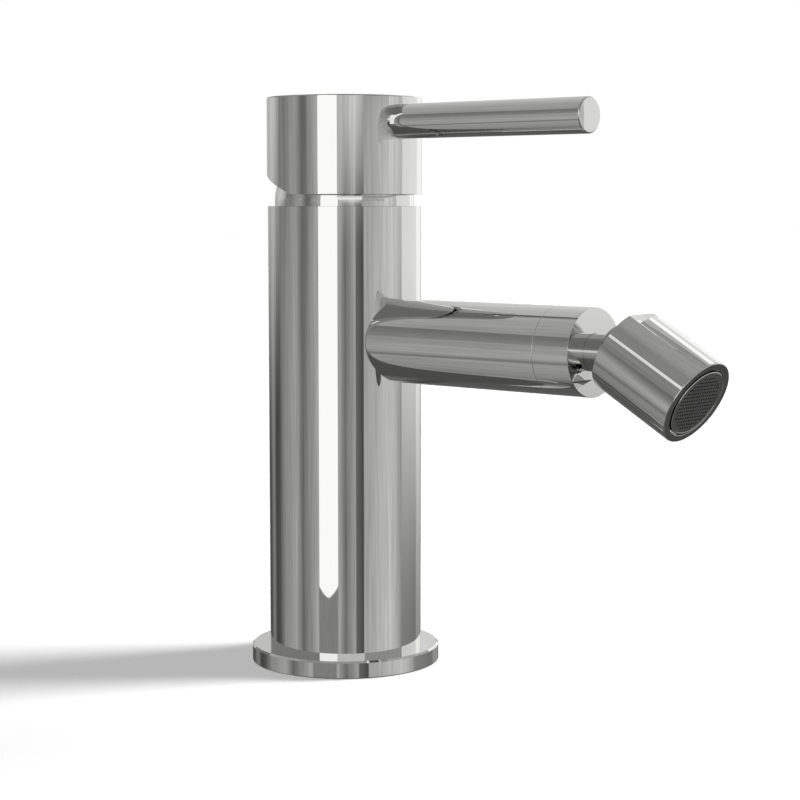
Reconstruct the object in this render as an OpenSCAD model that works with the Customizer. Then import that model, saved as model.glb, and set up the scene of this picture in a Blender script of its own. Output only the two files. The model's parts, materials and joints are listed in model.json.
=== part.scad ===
// Single-lever bidet mixer with a straight spout and a swivelling nozzle.
// The origin is on the body's axis at the underside of the base flange.
// +Z is up and +X is the way that the spout and the lever point.

/* [Base flange] */
// Diameter of the base flange
flange_d = 52; // [48:0.5:60]
// Height of the base flange
flange_h = 4.7; // [4.2:0.1:8]
// Width of the bevel at the flange's rim
flange_bevel = 0.5; // [0.2:0.1:0.9]
// Diameter of the opening that the hoses pass up through
under_bore_d = 35; // [33:0.5:36.5]
// Radial width of the rubber gasket under the flange
gasket_w = 2.5; // [1.5:0.1:3]
// Thickness of the rubber gasket under the flange
gasket_h = 1.2; // [0.8:0.1:1.6]

/* [Body] */
// Diameter of the body
body_d = 42; // [41.2:0.1:44]
// Length of the body above the flange
body_len = 121.4; // [112:0.1:160]
// Diameter of the spigot that centres the body in the flange
spigot_d = 38; // [37:0.5:39]
// Radius of the tapped holes for the supply hoses
inlet_r = 4.5; // [4:0.25:5.5]
// Depth of the tapped holes for the supply hoses
inlet_len = 12; // [9:0.5:15]
// Radius of the water passages to the cartridge
passage_r = 3.2; // [2.6:0.1:3.4]
// Distance from the spout's axis down to the tapped holes
inlet_drop = 38; // [32:1:44]
// Radius of the tapped hole for the fixing stud
stud_hole_r = 3.4; // [2.5:0.1:4.2]
// Depth of the tapped hole for the fixing stud
stud_hole_len = 20; // [12:1:22]

/* [Spout] */
// Diameter of the spout
spout_d = 22.5; // [21.5:0.1:24]
// Distance from the body's top down to the spout's axis
spout_drop = 36.1; // [35.5:0.1:44]
// Reach of the spout's end face from the body's axis
spout_reach = 84.5; // [76:0.5:130]
// Length of the collar at the spout's end
collar_len = 11; // [9:0.5:16]
// Thickness of the spout's wall
spout_wall = 1.95; // [1.5:0.05:2.4]
// Diameter of the round stem that carries the nozzle
stem_d = 9.5; // [8.5:0.1:10]
// Distance from the spout's end face to the nozzle's pivot
stem_len = 11.5; // [10.5:0.1:18]

/* [Nozzle] */
// Diameter of the nozzle
nozzle_d = 22.5; // [22:0.1:24]
// Length of the nozzle
nozzle_len = 24.3; // [23.6:0.1:34]
// Distance from the pivot back to the nozzle's rear face
nozzle_back = 2.8; // [2.6:0.1:3.2]
// Angle of the nozzle below the spout's axis at rest
nozzle_tilt = 29.5; // [0:0.5:30]
// Diameter of the ball
ball_d = 16.4; // [16:0.1:16.6]
// Depth of the two spanner flats
flat_depth = 1.3; // [0.5:0.1:1.4]
// Length of the two spanner flats
flat_len = 3.6; // [2:0.1:6]
// Diameter of the aerator's lip at the mouth
aerator_lip_d = 17.5; // [16.5:0.1:18]
// Distance between the holes of the aerator's grille
grille_pitch = 1.1; // [1:0.05:1.6]
// Width of the bars of the aerator's grille
grille_bar = 0.45; // [0.3:0.05:0.6]

/* [Lever] */
// Diameter of the lever cap
cap_d = 42.4; // [42:0.1:44.5]
// Height of the lever cap
cap_h = 26.2; // [25.6:0.1:32]
// Height of the gap between the body and the lever cap
cap_gap = 3.2; // [2.6:0.1:4]
// Width of the bevel around the cap's top edge
cap_bevel = 0.6; // [0.2:0.1:1]
// Angle that the lever lifts through, and of the cap's cut-away rear edge
lift_angle = 20; // [14:1:20]
// Angle that the lever turns through to each side
turn_angle = 50; // [30:5:50]
// Diameter of the lever rod
lever_d = 9.2; // [8:0.1:10]
// Reach of the lever rod from the body's axis
lever_reach = 82.5; // [50:0.5:120]
// Distance from the cap's top down to the lever rod's axis
lever_drop = 6.9; // [6.3:0.1:7.3]
// Diameter of the grub screw that holds the cap on its spindle
grub_d = 5; // [4:0.5:5]

/* [Cartridge] */
// Diameter of the domed cover under the lever cap
dome_d = 38.2; // [38:0.1:38.6]
// Height of the lever's pivot above the body's top
pivot_rise = 0.9; // [0.6:0.1:1.4]
// Diameter of the cartridge's shell
cart_d = 34.8; // [34:0.1:35]
// Height of the cartridge's shell
shell_h = 17; // [16.8:0.1:18]
// Height of the cartridge's base
base_h = 4; // [3.5:0.1:5]
// Depth of the cartridge's shell below the body's top
shell_drop = 4.1; // [3.6:0.1:4.6]
// Thickness of the fixed ceramic disc
fixed_disc_h = 4; // [3.5:0.1:4.2]
// Thickness of the moving ceramic disc
moving_disc_h = 3; // [2.6:0.1:3.2]
// Width of the square end of the spindle
spindle_w = 8; // [7:0.1:8.4]
// Diameter of the pin that the spindle tilts on
pin_d = 3; // [2.5:0.1:3.5]

/* [Fits] */
// Radial clearance of parts that turn, slide or screw together
fit = 0.05; // [0.02:0.01:0.08]
// Gap between the domed cover and the inside of the lever cap
cap_clear = 0.3; // [0.2:0.05:0.35]

/* [Hidden] */
$fn = 96;

// Added to a cutter so that it runs cleanly through what it cuts
eps = 1;
// Width of the small bevel on turned edges
edge = 0.2;
// Section radius of the round rubber rings, and their play in their grooves
seal_r = 0.5;
seal_play = 0.05;

// Heights along the body
body_top = flange_h + body_len;
cap_bottom = body_top + cap_gap;
cap_top = cap_bottom + cap_h;
pivot_z = body_top + pivot_rise;
spout_z = body_top - spout_drop;
block_z = spout_z - inlet_drop;
shell_top = body_top - shell_drop;
shell_z = shell_top - shell_h;
seat_z = shell_z - base_h;

// Base flange and body
flange_recess_z = 2;
gasket_inset = 4;
gasket_r = under_bore_d / 2 + gasket_inset;
body_edge = 0.3;
inlet_x = 5.5;
inlet_y = 8.5;
outlet_bore_r = 7;
outlet_bore_len = 10;
outlet_bore_x = body_d / 2 - outlet_bore_len;
stud_x = -7;
peg_x = 13;
peg_r = 1.5;
peg_h = 2;
peg_angles = [0, 130];
thread_r = dome_d / 2 - 0.5;

// Spout
spout_r = spout_d / 2;
spout_bore_r = spout_r - spout_wall;
nipple_depth = 7;
nipple_x = body_d / 2 - nipple_depth;
nipple_bore_r = 4.5;
nipple_seal_r = outlet_bore_r - fit - seal_r;
nipple_seal_inset = 2.5;
nipple_seal_x = nipple_x + nipple_seal_inset;
root_wall = 6;
root_x = body_d / 2 + root_wall;
collar_x = spout_reach - collar_len;
collar_spigot_len = 8;
collar_seal_r = spout_bore_r - fit - seal_r;
collar_seal_x = collar_x - collar_spigot_len / 2;
collar_bore_r = 5.5;
thread_len = 8.5;
stem_r = stem_d / 2;
stem_seal_r = stem_r - seal_r;
stem_seal_x = spout_reach - thread_len / 2;
stem_root = spout_reach - thread_len - 1;
water_r = 2.2;
seam = 0.12;

// Ball joint and nozzle, along the nozzle's own axis from the pivot
pivot_x = spout_reach + stem_len;
ball_r = ball_d / 2;
nozzle_r = nozzle_d / 2;
nozzle_front = nozzle_len - nozzle_back;
bore_r = nozzle_r - 1.9;
lip_h = 1.2;
lip_gap = 0.15;
lip_z = lip_h - nozzle_back;
seat_rear_z = 0.4;
ring_z = 1;
seat_front_z = 1.6;
seat_front_h = 2.9;
nut_h = 3.1;
nut_wall = 2.2;
nut_slot_w = 2;
nut_slot_depth = 1;
nut_z = seat_front_z + seat_front_h;
ball_flat = ball_r - 0.8;
insert_r = 2.9;
insert_len = 9;
insert_bore_r = 1.7;

// Aerator, stacked from the seat nut to the nozzle's mouth
washer_h = 1.5;
washer_z = nut_z + nut_h;
aerator_z = washer_z + washer_h;
lip_sink = 0.2;
aerator_front = nozzle_front - lip_sink;
lip_len = 2.3;
aerator_floor_h = 1.5;
aerator_bore_r = aerator_lip_d / 2 - 0.4;
diffuser_h = 1.8;
mesh_h = 0.3;
grille_h = 2;
grille_sink = 0.5;
diffuser_z = aerator_z + aerator_floor_h;
mesh_z = diffuser_z + diffuser_h;
spacer_z = mesh_z + mesh_h;
grille_z = aerator_front - grille_sink - grille_h;
jet_ring_r = 5.6;
jet_r = 0.5;
jet_count = 16;
mesh_pitch = 1.2;
mesh_hole = 0.7;
mesh_rim = 0.8;
grille_rim = 0.4;
spacer_wall = 0.95;

// Cartridge
cart_r = cart_d / 2;
shell_wall = 2;
shell_bore_r = cart_r - shell_wall;
roof_h = 2;
neck_r = 11.5;
neck_rise = 3.6;
neck_top = pivot_z + neck_rise;
guide_r = 9;
guide_top = neck_top - 0.2;
guide_flange_h = 2.9;
guide_flange_z = shell_top - roof_h - guide_flange_h;
guide_seal_z = shell_top + 2;
stop_w = 3;
stop_depth = 1.8;
stop_play = 6.5;
disc_room = 4.2;
disc_r = shell_bore_r - disc_room;
carrier_h = 4.8;
face_gap = 0.03;
fixed_z = shell_z;
moving_z = fixed_z + fixed_disc_h + face_gap;
carrier_z = moving_z + moving_disc_h;
knob_r = 2.5;
socket_floor = 0.5;
knob_play = 0.15;
knob_z = carrier_z + socket_floor + knob_r + 0.2;
socket_half = knob_r + knob_play;
spindle_neck_r = 2;
spindle_y = 4;
spindle_x = 3.2;
spindle_low = 7.5;
square_rise = 5.5;
spindle_rise = 19;
spindle_top = pivot_z + spindle_rise;
slot_front = 6.2;
slot_back = 5.4;
pin_len = 17;
key_w = 3;
key_d = 1;
drive_peg_r = 1.2;
drive_peg_y = 7;
drive_peg_h = 1;
pocket_r = 4.6;
pocket_h = 1.5;
disc_port_r = 2.2;
disc_port_ring_r = 7.2;
disc_port_angle = 50;
port_seal_w = 1.3;
port_seal_h = 1;
distributor_z = seat_z + port_seal_h + 1;

// Nut and domed cover
dome_r = dome_d / 2;
dome_wall = 1.6;
dome_inner_r = dome_r - dome_wall;
dome_rise = 10.5;
dome_top = pivot_z + dome_rise;
cover_nut_r = dome_inner_r - 0.3;
cover_nut_rise = 2.5;
cover_nut_top = pivot_z + cover_nut_rise;
cover_nut_z = shell_top + 2;
cover_seal_r = cover_nut_r - seal_r;
cover_seal_z = pivot_z + 1;
nut_bore_r = neck_r + 0.5;
notch_w = 4;
notch_depth = 1.6;

// Lever cap
cap_r = cap_d / 2;
cap_bore_r = dome_r + cap_clear;
cap_roof = 4;
cap_step_rise = 16;
cap_step_z = pivot_z + cap_step_rise;
cap_core_r = cap_bore_r - 0.8;
boss_r = 8.5;
boss_rise = 10.5;
boss_z = pivot_z + boss_rise;
socket_top = spindle_top + 0.2;
rod_z = cap_top - lever_drop;
rod_r = lever_d / 2;
rod_root = cap_r - 0.5;
rod_seat_x = 7;
rod_boss_r = 6.3;
rod_spigot_r = 3;
rod_spigot_x = 13;
rod_bevel = 0.4;
grub_r = grub_d / 2;
grub_rise = 15;
grub_z = pivot_z + grub_rise;
grub_end = boss_r - 1;
hex_r = 1.4;
hex_depth = 2;
plug_r = 3;
plug_h = 1.6;

// Bounds large enough to cut the whole object
big = 400;

// A ring or disc standing on height z
module ring(r_out, r_in, h, z) {
    translate([0, 0, z])
        difference() {
            cylinder(r = r_out, h = h);
            if (r_in > 0) translate([0, 0, -eps]) cylinder(r = r_in, h = h + 2 * eps);
        }
}

// A round cutter from z0 to z1
module cut(r, z0, z1) {
    translate([0, 0, z0]) cylinder(r = r, h = z1 - z0);
}

// A rubber ring of round section
module o_ring(r_mid, z) {
    translate([0, 0, z])
        rotate_extrude()
            translate([r_mid, 0])
                circle(r = seal_r, $fn = 32);
}

// A cutter for the groove around a bar that the same rubber ring lies in
module o_ring_groove(r_mid, z) {
    half = seal_r + seal_play;
    ring(r_mid + 2 * half, r_mid - half, 2 * half, z - half);
}

// Places its children with their Z along the spout, measured from the body's axis
module along_spout() {
    translate([0, 0, spout_z]) rotate([0, 90, 0]) children();
}

// Places its children with their Z along the nozzle, measured from the ball's centre
module along_nozzle() {
    translate([pivot_x, 0, spout_z]) rotate([0, 90 + nozzle_tilt, 0]) children();
}

// Places its children with their Z along the lever rod
module along_lever() {
    translate([0, 0, rod_z]) rotate([0, 90, 0]) children();
}

// A turned bar with a bevel of width b at its far end
module bevelled_bar(r, z0, z1, b) {
    rotate_extrude()
        polygon([[0, z0], [r, z0], [r, z1 - b], [r - b, z1], [0, z1]]);
}

// A perforated round plate with square holes
module grid_plate(r, h, z, pitch, hole, rim) {
    n = floor((r - rim) / pitch);
    translate([0, 0, z])
        linear_extrude(h)
            difference() {
                circle(r = r);
                for (i = [-n:n])
                    for (j = [-n:n])
                        if (norm([abs(i) * pitch + hole / 2, abs(j) * pitch + hole / 2]) < r - rim)
                            translate([i * pitch, j * pitch])
                                square(hole, center = true);
            }
}

// Flat round flange with a bevelled rim, grooved underneath for its gasket
module base_flange() {
    color("silver")
        difference() {
            rotate_extrude()
                polygon([
                    [under_bore_d / 2, 0],
                    [flange_d / 2, 0],
                    [flange_d / 2, flange_h - flange_bevel],
                    [flange_d / 2 - flange_bevel, flange_h],
                    [spigot_d / 2 + fit, flange_h],
                    [spigot_d / 2 + fit, flange_recess_z],
                    [under_bore_d / 2, flange_recess_z]
                ]);
            ring(gasket_r + gasket_w / 2 + fit, gasket_r - gasket_w / 2 - fit, gasket_h + fit + eps, -eps);
        }
}

// Flat rubber seal in the flange's groove
module base_gasket() {
    color("dimgray")
        ring(gasket_r + gasket_w / 2, gasket_r - gasket_w / 2, gasket_h, 0);
}

// Places its children at the cartridge's two locating pegs
module at_pegs() {
    for (turn = peg_angles)
        rotate([0, 0, turn])
            translate([peg_x, 0, 0])
                children();
}

// Hollow body with the hose sockets, the water passages and the cartridge seat
module mixer_body() {
    color("silver")
        difference() {
            union() {
                bevelled_bar(body_d / 2, flange_h, body_top, body_edge);
                cut(spigot_d / 2, flange_recess_z + fit, flange_h + eps);
            }
            cut(under_bore_d / 2, 0, block_z);
            cut(cart_r + fit, seat_z, body_top + eps);
            cut(thread_r + fit, shell_top - edge, body_top + eps);
            for (side = [-1, 1])
                translate([inlet_x, side * inlet_y, 0]) {
                    cut(inlet_r, block_z - eps, block_z + inlet_len);
                    cut(passage_r, block_z, seat_z + eps);
                }
            translate([stud_x, 0, 0]) cut(stud_hole_r, block_z - eps, block_z + stud_hole_len);
            cut(passage_r, spout_z, seat_z + eps);
            along_spout() {
                cut(passage_r, 0, body_d);
                cut(outlet_bore_r, outlet_bore_x, body_d);
            }
            at_pegs() cut(peg_r + fit, seat_z - peg_h - fit, seat_z + eps);
        }
}

// Hollow threaded nipple that joins the spout to the body
module spout_nipple() {
    color("darkkhaki")
        along_spout()
            difference() {
                ring(outlet_bore_r - fit, nipple_bore_r, root_x - nipple_x, nipple_x);
                o_ring_groove(nipple_seal_r, nipple_seal_x);
            }
}

// Rubber ring in the nipple's groove
module nipple_o_ring() {
    color("dimgray")
        along_spout() o_ring(nipple_seal_r, nipple_seal_x);
}

// Straight spout tube, cut to the body's curve at its root
module spout_tube() {
    color("silver")
        difference() {
            along_spout()
                difference() {
                    bevelled_bar(spout_r, body_d / 4, collar_x, seam);
                    cut(outlet_bore_r, 0, collar_x);
                    cut(spout_bore_r, root_x, collar_x + eps);
                }
            cut(body_d / 2 + fit, 0, big);
        }
}

// Rubber ring in the groove of the collar's spigot
module collar_o_ring() {
    color("dimgray")
        along_spout() o_ring(collar_seal_r, collar_seal_x);
}

// End collar: its spigot screws into the spout and its flat face carries the stem
module spout_collar() {
    color("silver")
        along_spout()
            difference() {
                union() {
                    rotate_extrude()
                        polygon([
                            [0, collar_x],
                            [spout_r - seam, collar_x],
                            [spout_r, collar_x + seam],
                            [spout_r, spout_reach - edge],
                            [spout_r - edge, spout_reach],
                            [0, spout_reach]
                        ]);
                    cut(spout_bore_r - fit, collar_x - collar_spigot_len, collar_x + eps);
                }
                o_ring_groove(collar_seal_r, collar_seal_x);
                cut(collar_bore_r, 0, spout_reach - thread_len);
                cut(stem_r + fit, 0, spout_reach + eps);
            }
}

// Rubber ring around the stud inside the collar
module stem_o_ring() {
    color("dimgray")
        along_spout() o_ring(stem_seal_r, stem_seal_x);
}

// Round stem with the ball at its end, bored through for the water
module ball_stud() {
    color("silver")
        along_spout()
            difference() {
                union() {
                    cut(stem_r, stem_root, pivot_x);
                    translate([0, 0, pivot_x]) sphere(r = ball_r);
                }
                cut(water_r, 0, pivot_x);
                cut(insert_r + fit, pivot_x + ball_flat - insert_len, pivot_x + big);
                cut(ball_d, pivot_x + ball_flat, pivot_x + big);
                o_ring_groove(stem_seal_r, stem_seal_x);
            }
}

// Flow guide in the ball's mouth
module ball_insert() {
    color("whitesmoke")
        along_spout()
            ring(insert_r, insert_bore_r, insert_len - 2 * fit, pivot_x + ball_flat - insert_len + fit);
}

// Plastic ring behind the ball
module ball_seat_rear() {
    color("whitesmoke")
        along_nozzle()
            difference() {
                cut(bore_r - fit, lip_z + face_gap, seat_rear_z);
                sphere(r = ball_r + fit);
            }
}

// Rubber ring around the ball
module ball_o_ring() {
    color("dimgray")
        along_nozzle() o_ring(bore_r - fit - seal_r, ring_z);
}

// Plastic ring in front of the ball
module ball_seat_front() {
    color("whitesmoke")
        along_nozzle()
            difference() {
                cut(bore_r - fit, seat_front_z, seat_front_z + seat_front_h);
                sphere(r = ball_r + fit);
            }
}

// Nozzle barrel with its two spanner flats
module nozzle_housing() {
    color("silver")
        along_nozzle()
            difference() {
                rotate_extrude()
                    polygon([
                        [0, -nozzle_back],
                        [nozzle_r - edge, -nozzle_back],
                        [nozzle_r, edge - nozzle_back],
                        [nozzle_r, nozzle_front - edge],
                        [nozzle_r - edge, nozzle_front],
                        [0, nozzle_front]
                    ]);
                cut(bore_r, lip_z, nozzle_front + eps);
                sphere(r = ball_r + lip_gap);
                for (side = [0, 1])
                    rotate([0, 0, side * 180])
                        translate([nozzle_r - flat_depth, -nozzle_r, -nozzle_back - eps])
                            cube([nozzle_r, nozzle_d, flat_len + eps]);
            }
}

// Threaded ring that presses the seats onto the ball
module seat_nut() {
    color("darkkhaki")
        along_nozzle()
            difference() {
                ring(bore_r - fit, bore_r - nut_wall, nut_h, nut_z + face_gap);
                for (turn = [0, 90])
                    rotate([0, 0, turn])
                        translate([-big / 2, -nut_slot_w / 2, nut_z + nut_h - nut_slot_depth])
                            cube([big, nut_slot_w, 2 * nut_slot_depth]);
            }
}

// Rubber washer behind the aerator
module aerator_gasket() {
    color("dimgray")
        along_nozzle() ring(bore_r - 2 * fit, bore_r - nut_wall, washer_h - 2 * fit, washer_z + 2 * fit);
}

// Aerator cup with a stepped lip at the mouth
module aerator_housing() {
    color("silver")
        along_nozzle()
            difference() {
                union() {
                    cut(bore_r - fit, aerator_z, aerator_front - lip_len);
                    bevelled_bar(aerator_lip_d / 2, aerator_z, aerator_front, edge / 2);
                }
                cut(bore_r - nut_wall, aerator_z - eps, aerator_z + eps * 2);
                cut(aerator_bore_r, diffuser_z, nozzle_front + eps);
            }
}

// Plate that splits the water into jets
module aerator_diffuser() {
    color("whitesmoke")
        along_nozzle()
            difference() {
                cut(aerator_bore_r - fit, diffuser_z + fit, diffuser_z + diffuser_h);
                for (i = [0:jet_count - 1])
                    rotate([0, 0, i * 360 / jet_count])
                        translate([jet_ring_r, 0, 0])
                            cut(jet_r, diffuser_z - eps, mesh_z + eps);
            }
}

// Fine steel screen behind the spacer
module aerator_mesh() {
    color("gray")
        along_nozzle()
            grid_plate(aerator_bore_r - fit, mesh_h - fit, mesh_z + fit, mesh_pitch, mesh_hole, mesh_rim);
}

// Ring that keeps the screens apart
module aerator_spacer() {
    color("whitesmoke")
        along_nozzle()
            ring(
                aerator_bore_r - fit, aerator_bore_r - fit - spacer_wall,
                grille_z - spacer_z - 2 * fit, spacer_z + fit
            );
}

// Grille of small square holes at the mouth
module aerator_grille() {
    color("dimgray")
        along_nozzle()
            grid_plate(
                aerator_bore_r - fit, grille_h, grille_z,
                grille_pitch, grille_pitch - grille_bar, grille_rim
            );
}

// Places its children at the hot, cold and mixed ports of the body
module at_ports() {
    for (side = [-1, 1])
        translate([inlet_x, side * inlet_y, 0]) children();
    children();
}

// Places its children at the two inlet ports of the fixed disc
module at_disc_ports() {
    for (side = [-1, 1])
        rotate([0, 0, side * disc_port_angle])
            translate([disc_port_ring_r, 0, 0])
                children();
}

// Three rubber rings between the body and the cartridge's base
module port_seals() {
    color("firebrick")
        at_ports() ring(passage_r + port_seal_w, passage_r, port_seal_h, seat_z);
}

// Cartridge base: locating pegs, seal recesses, and ports that lead inward to the fixed disc's
module cartridge_base() {
    color("gainsboro")
        difference() {
            union() {
                cut(cart_r, seat_z + fit, shell_z);
                at_pegs() cut(peg_r, seat_z - peg_h, seat_z + eps);
            }
            at_ports() {
                cut(passage_r, seat_z - eps, distributor_z + eps);
                cut(passage_r + port_seal_w + 2 * fit, seat_z - eps, seat_z + port_seal_h + fit);
            }
            cut(passage_r, seat_z, shell_z + eps);
            at_disc_ports() cut(disc_port_r, distributor_z, shell_z + eps);
        }
}

// Cartridge shell: a cup with a neck, two keys for the fixed disc and a rib that stops the guide
module cartridge_shell() {
    color("gainsboro")
        difference() {
            union() {
                cut(cart_r, shell_z, shell_top);
                cut(neck_r, shell_top - eps, neck_top);
            }
            difference() {
                cut(shell_bore_r, shell_z - eps, shell_top - roof_h);
                for (side = [0, 1])
                    rotate([0, 0, side * 180])
                        translate([shell_bore_r - key_d, -key_w / 2, shell_z - eps])
                            cube([2 * key_d, key_w, fixed_disc_h - face_gap + eps]);
                translate([-shell_bore_r - eps, -stop_w / 2, guide_flange_z])
                    cube([stop_depth + eps, stop_w, roof_h + guide_flange_h]);
            }
            cut(guide_r + fit, shell_z, neck_top + eps);
        }
}

// Fixed ceramic disc with its three ports and two key slots
module fixed_disc() {
    color("white")
        difference() {
            cut(shell_bore_r - 2 * fit, fixed_z + face_gap, fixed_z + fixed_disc_h);
            cut(passage_r, fixed_z - eps, moving_z + eps);
            at_disc_ports() cut(disc_port_r, fixed_z - eps, moving_z + eps);
            for (side = [0, 1])
                rotate([0, 0, side * 180])
                    translate([shell_bore_r - key_d - 2 * fit, -key_w / 2 - fit, fixed_z - eps])
                        cube([4 * key_d, key_w + 2 * fit, fixed_disc_h + 2 * eps]);
        }
}

// Moving ceramic disc with its mixing pocket and two drive holes
module moving_disc() {
    color("white")
        difference() {
            cut(disc_r, moving_z, moving_z + moving_disc_h);
            cut(pocket_r, moving_z - eps, moving_z + pocket_h);
            for (side = [-1, 1])
                translate([0, side * drive_peg_y, 0])
                    cut(drive_peg_r + fit, carrier_z - drive_peg_h - 2 * fit, carrier_z + eps);
        }
}

// Carrier that slides the moving disc, with the socket for the spindle's knob
module disc_carrier() {
    color("gainsboro")
        difference() {
            union() {
                cut(disc_r, carrier_z, carrier_z + carrier_h);
                for (side = [-1, 1])
                    translate([0, side * drive_peg_y, 0])
                        cut(drive_peg_r, carrier_z - drive_peg_h, carrier_z + eps);
            }
            translate([-socket_half, -socket_half, carrier_z + socket_floor])
                cube([2 * socket_half, 2 * socket_half, carrier_h]);
        }
}

// Guide that turns in the shell's neck, notched for its stop, and carries the spindle's pin
module spindle_guide() {
    notch_angle = turn_angle + stop_play;
    color("gainsboro")
        difference() {
            union() {
                cut(shell_bore_r - 3 * fit, guide_flange_z, shell_top - roof_h - face_gap);
                cut(guide_r, guide_flange_z, guide_top);
            }
            difference() {
                translate([0, 0, guide_flange_z - eps])
                    linear_extrude(guide_flange_h + 2 * eps)
                        polygon([
                            [0, 0],
                            [-big * cos(notch_angle), big * sin(notch_angle)],
                            [-big * cos(notch_angle), -big * sin(notch_angle)]
                        ]);
                cut(shell_bore_r - stop_depth - 2 * fit, 0, big);
            }
            o_ring_groove(guide_r - seal_r, guide_seal_z);
            translate([-slot_back, -spindle_y - 2 * fit, guide_flange_z - eps])
                cube([slot_front + slot_back, 2 * spindle_y + 4 * fit, big]);
            translate([0, 0, pivot_z])
                rotate([90, 0, 0])
                    cylinder(r = pin_d / 2 + fit / 2, h = 2 * guide_r + eps, center = true);
        }
}

// Rubber ring between the guide and the shell's neck
module guide_o_ring() {
    color("dimgray")
        o_ring(guide_r - seal_r, guide_seal_z);
}

// Steel pin that the spindle tilts on
module spindle_pin() {
    color("slategray")
        translate([0, 0, pivot_z])
            rotate([90, 0, 0])
                cylinder(d = pin_d, h = pin_len, center = true);
}

// Threaded nut that clamps the cartridge, with notches for its key
module cartridge_nut() {
    color("darkkhaki")
        difference() {
            union() {
                cut(thread_r, shell_top + face_gap, body_top);
                cut(cover_nut_r, cover_nut_z, cover_nut_top);
            }
            cut(nut_bore_r, shell_top - eps, cover_nut_top + eps);
            o_ring_groove(cover_seal_r, cover_seal_z);
            for (turn = [0, 60, 120])
                rotate([0, 0, turn])
                    translate([-big / 2, -notch_w / 2, cover_nut_top - notch_depth])
                        cube([big, notch_w, big]);
        }
}

// Rubber ring that holds the domed cover on the nut
module dome_o_ring() {
    color("dimgray")
        o_ring(cover_seal_r, cover_seal_z);
}

// Domed cover, round about the lever's pivot so that the cap swings clear of it
module dome_cover() {
    color("silver")
        difference() {
            union() {
                cut(dome_r, body_top + face_gap, pivot_z);
                intersection() {
                    translate([0, 0, pivot_z]) sphere(r = dome_r);
                    cut(dome_r + eps, pivot_z, dome_top);
                }
            }
            translate([0, 0, pivot_z]) sphere(r = dome_inner_r);
            cut(dome_inner_r, 0, pivot_z);
        }
}

// Spindle: a knob in the disc carrier, a flat blade on the pin and a square end in the cap
module spindle() {
    color("slategray")
        difference() {
            union() {
                translate([0, 0, knob_z]) sphere(r = knob_r);
                cut(spindle_neck_r, knob_z, pivot_z);
                translate([-spindle_x, -spindle_y, pivot_z - spindle_low])
                    cube([2 * spindle_x, 2 * spindle_y, spindle_low + square_rise + eps]);
                translate([-spindle_w / 2, -spindle_w / 2, pivot_z + square_rise])
                    cube([spindle_w, spindle_w, spindle_top - pivot_z - square_rise]);
            }
            translate([0, 0, pivot_z])
                rotate([90, 0, 0])
                    cylinder(r = pin_d / 2 + fit, h = spindle_w * 2, center = true);
        }
}

// Solid bosses inside the lever cap for the spindle's socket and the lever rod
module cap_bosses() {
    cut(boss_r, boss_z, cap_top - cap_roof + eps);
    along_lever() cut(rod_boss_r, rod_seat_x, cap_r - edge);
}

// Hollow lever cap, cut away at its rear edge so that it can tip back
module lever_cap() {
    color("silver")
        difference() {
            bevelled_bar(cap_r, cap_bottom, cap_top, cap_bevel);
            difference() {
                union() {
                    cut(cap_bore_r, cap_bottom - eps, cap_step_z);
                    cut(cap_core_r, cap_step_z - eps, cap_top - cap_roof);
                }
                cap_bosses();
            }
            translate([0, 0, cap_bottom])
                rotate([0, lift_angle, 0])
                    translate([-big, -big / 2, -big])
                        cube([big, big, big]);
            translate([-spindle_w / 2 - fit, -spindle_w / 2 - fit, boss_z - eps])
                cube([spindle_w + 2 * fit, spindle_w + 2 * fit, socket_top - boss_z + eps]);
            translate([0, 0, grub_z])
                rotate([0, -90, 0]) {
                    cut(grub_r, 0, boss_r + eps);
                    cut(plug_r + fit, boss_r + 2 * eps, cap_d);
                }
            along_lever() {
                cut(rod_spigot_r + fit, rod_spigot_x - 1, cap_r);
                cut(rod_r + fit, rod_root - fit, cap_d);
            }
        }
}

// Straight round lever rod with a threaded spigot
module lever_rod() {
    color("silver")
        along_lever() {
            rotate_extrude()
                polygon([
                    [0, rod_spigot_x],
                    [rod_spigot_r, rod_spigot_x],
                    [rod_spigot_r, rod_root],
                    [rod_r - rod_bevel, rod_root],
                    [rod_r, rod_root + rod_bevel],
                    [rod_r, lever_reach - rod_bevel],
                    [rod_r - rod_bevel, lever_reach],
                    [0, lever_reach]
                ]);
        }
}

// Grub screw with a hexagon socket, pressed against the spindle
module grub_screw() {
    color("slategray")
        translate([0, 0, grub_z])
            rotate([0, -90, 0])
                difference() {
                    cut(grub_r - fit, spindle_w / 2 + fit, grub_end);
                    translate([0, 0, grub_end - hex_depth]) cylinder(r = hex_r, h = hex_depth + eps, $fn = 6);
                }
}

// Small plug that closes the screw's hole at the back of the cap
module screw_plug() {
    color("silver")
        intersection() {
            translate([0, 0, grub_z])
                rotate([0, -90, 0])
                    cut(plug_r, cap_r - plug_h, cap_d);
            cut(cap_r, 0, big);
        }
}

base_flange();
base_gasket();
mixer_body();
spout_nipple();
nipple_o_ring();
spout_tube();
collar_o_ring();
spout_collar();
stem_o_ring();
ball_stud();
ball_insert();
ball_seat_rear();
ball_o_ring();
ball_seat_front();
nozzle_housing();
seat_nut();
aerator_gasket();
aerator_housing();
aerator_diffuser();
aerator_mesh();
aerator_spacer();
aerator_grille();
port_seals();
cartridge_base();
cartridge_shell();
fixed_disc();
moving_disc();
disc_carrier();
spindle_guide();
guide_o_ring();
spindle_pin();
cartridge_nut();
dome_o_ring();
dome_cover();
spindle();
lever_cap();
lever_rod();
grub_screw();
screw_plug();
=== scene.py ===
# %% [markdown]
# # A single-lever bidet mixer in polished chrome
#
# The mixer is a straight round column on a flat flange, with a short spout, a nozzle
# that swivels on a ball, and a round cap with a thin lever.
# This lesson dresses its exact construction model with turned and polished pieces,
# gives every part its finish, and sets it in a small studio.

# %% Load the construction model
import json
import math

import bmesh
import bpy
from mathutils import Matrix, Vector

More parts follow.
